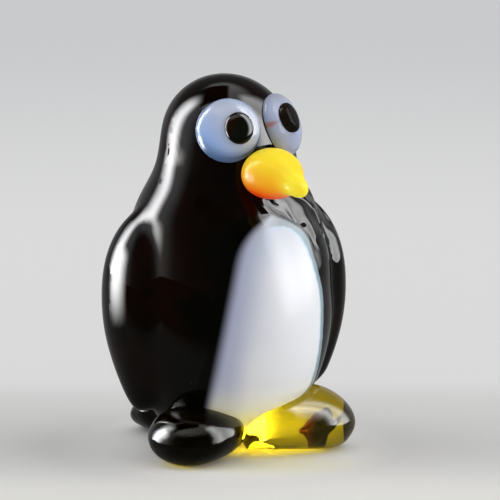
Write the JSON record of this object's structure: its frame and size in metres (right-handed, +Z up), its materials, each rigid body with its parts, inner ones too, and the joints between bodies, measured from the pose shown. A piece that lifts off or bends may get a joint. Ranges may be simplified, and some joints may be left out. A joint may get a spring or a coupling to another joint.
{
  "type": "glass penguin figurine",
  "caption": "Solid lampworked glass penguin standing on its feet and tail: dark body with hanging flippers, opal belly, bulging eyes, blunt opaque beak and clear yellow feet with dark toes.",
  "frame": {"origin": "on the table, under the body's upright axis, which is the middle of the bounding box", "axes": "+Z is up and is the tallest extent, -Y is the way the penguin looks, +X is the penguin's left"},
  "size_m": [0.0346, 0.0375, 0.05],
  "materials": {
    "dark_glass": "fire-polished black glass",
    "opal_glass": "fire-polished bluish white opal glass",
    "pupil_glass": "fire-polished black glass with a brown depth",
    "beak_glass": "fire-polished opaque yellow to orange glass",
    "yellow_glass": "fire-polished clear yellow glass"
  },
  "bodies": {
    "root": {"body": "dark_glass", "belly_patch": "opal_glass", "flipper_right": "dark_glass", "flipper_left": "dark_glass", "tail": "dark_glass", "foot_right": "yellow_glass", "foot_left": "yellow_glass", "toe_right": "dark_glass", "toe_left": "dark_glass", "eye_right": "opal_glass", "eye_left": "opal_glass", "pupil_right": "pupil_glass", "pupil_left": "pupil_glass", "beak": "beak_glass"}
  },
  "joints": []
}
